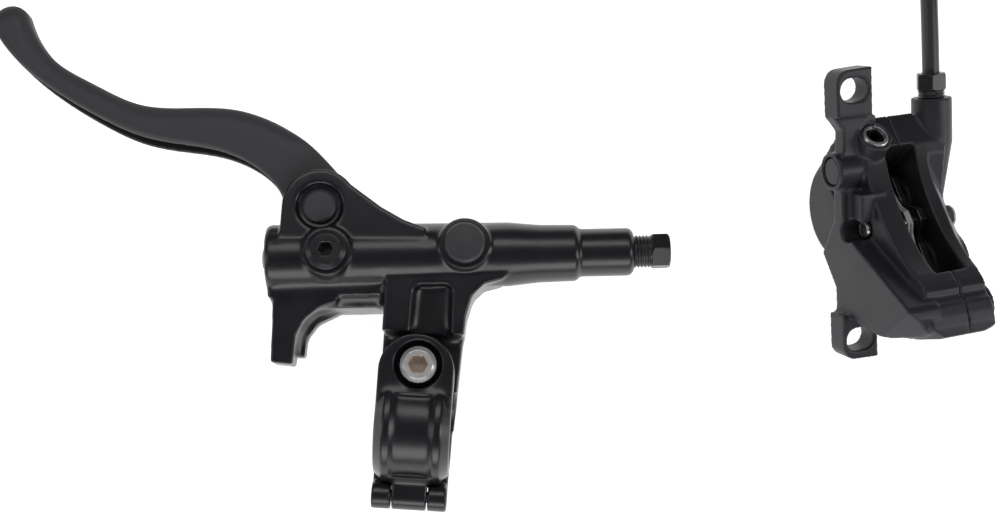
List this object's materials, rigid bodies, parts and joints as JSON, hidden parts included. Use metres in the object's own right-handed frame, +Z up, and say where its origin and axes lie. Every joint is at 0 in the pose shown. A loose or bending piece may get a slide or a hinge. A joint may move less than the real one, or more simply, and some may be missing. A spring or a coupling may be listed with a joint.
{
  "type": "hydraulic disc brake",
  "caption": "Bicycle hydraulic disc brake: handlebar lever with hinged clamp and curved blade, and a post-mount caliper with opposed pistons, pads and hose.",
  "frame": {"origin": "middle of the underside of the set (lever and caliper, without the hose), on the surface that it lies on", "axes": "+X along the handlebar, from the lever toward the caliper; +Y from the handlebar toward the lever barrel; +Z up from the surface"},
  "size_m": [0.3028, 0.2763, 0.0485],
  "materials": {
    "gloss_black": "glossy black paint on cast aluminium",
    "satin_black": "satin black anodised or painted",
    "caliper_grey": "semi-matte dark grey paint on forged aluminium",
    "black_plastic": "moulded black plastic",
    "black_rubber": "matte rubber",
    "hose_black": "smooth black hose cover",
    "bright_steel": "bright steel",
    "dark_steel": "blackened steel",
    "spring_steel": "spring steel wire",
    "aluminium": "bare machined aluminium",
    "brass": "plain brass",
    "friction": "resin-bonded friction material",
    "pale_plastic": "pale moulded resin"
  },
  "bodies": {
    "frame": {"lever_body": "gloss_black", "lever_nose": "gloss_black", "brace_leg": "gloss_black", "clamp_perch": "gloss_black", "clamp_band": "gloss_black", "clamp_hinge_pin": "dark_steel", "clamp_bolt": "bright_steel", "pivot_pin": "satin_black", "return_spring": "spring_steel", "piston_stop_ring": "dark_steel", "barrel_end_cap": "black_plastic", "reservoir_diaphragm": "black_rubber", "reservoir_plug": "black_plastic", "bleed_screw": "satin_black", "bleed_screw_seal": "black_rubber", "port_plug": "black_rubber", "compression_nut": "dark_steel", "caliper_outboard_half": "caliper_grey", "caliper_inboard_half": "caliper_grey", "piston_seals": "black_rubber", "pad_spring": "spring_steel", "pad_axle": "bright_steel", "axle_clip": "bright_steel", "caliper_body_bolts": "dark_steel", "caliper_bleed_screw": "bright_steel", "passage_plug": "dark_steel", "hose_nut": "dark_steel", "olive": "brass", "hose_run": "hose_black", "hose_coil": "hose_black", "hose_end_cap": "black_plastic"},
    "blade": {"lever_blade": "satin_black", "pivot_bushings": "black_plastic"},
    "adjuster": {"reach_screw": "dark_steel"},
    "plunger": {"pushrod": "bright_steel", "master_piston": "aluminium", "primary_seal": "black_rubber", "secondary_seal": "black_rubber"},
    "outboard_piston_pair": {"outboard_pistons": "pale_plastic"},
    "inboard_piston_pair": {"inboard_pistons": "pale_plastic"},
    "outboard_pad": {"outboard_pad_backing": "bright_steel", "outboard_pad_lining": "friction"},
    "inboard_pad": {"inboard_pad_backing": "bright_steel", "inboard_pad_lining": "friction"}
  },
  "joints": [
    {"name": "lever_pivot", "type": "hinge", "parent": "frame", "child": "blade", "pos_m": [-0.04695, 0.01461, 0.0161], "axis": [0, 0, 1], "range_deg": [0, 22]},
    {"name": "reach_turn", "type": "hinge", "parent": "blade", "child": "adjuster", "pos_m": [-0.04575, 0.00036, 0.0161], "axis": [0.9965, 0.0837, 0], "range_deg": [-360, 360]},
    {"name": "plunger_slide", "type": "slide", "parent": "frame", "child": "plunger", "axis": [0.9965, 0.0837, 0], "range_m": [0, 0.0063], "deforming": ["return_spring"]},
    {"name": "outboard_pistons_slide", "type": "slide", "parent": "frame", "child": "outboard_piston_pair", "axis": [0.9288, 0.2459, -0.2772], "range_m": [0, 0.0007]},
    {"name": "inboard_pistons_slide", "type": "slide", "parent": "frame", "child": "inboard_piston_pair", "axis": [-0.9288, -0.2459, 0.2772], "range_m": [0, 0.0007]},
    {"name": "outboard_pad_slide", "type": "slide", "parent": "frame", "child": "outboard_pad", "axis": [0.9288, 0.2459, -0.2772], "range_m": [0, 0.0007]},
    {"name": "inboard_pad_slide", "type": "slide", "parent": "frame", "child": "inboard_pad", "axis": [-0.9288, -0.2459, 0.2772], "range_m": [0, 0.0007]}
  ],
  "couplings": [
    {"joint": "plunger_slide", "follows": "lever_pivot", "m_per_rad": 0.0164},
    {"joint": "outboard_pistons_slide", "follows": "lever_pivot", "m_per_rad": 0.00182},
    {"joint": "inboard_pistons_slide", "follows": "lever_pivot", "m_per_rad": 0.00182},
    {"joint": "outboard_pad_slide", "follows": "lever_pivot", "m_per_rad": 0.00182},
    {"joint": "inboard_pad_slide", "follows": "lever_pivot", "m_per_rad": 0.00182}
  ]
}
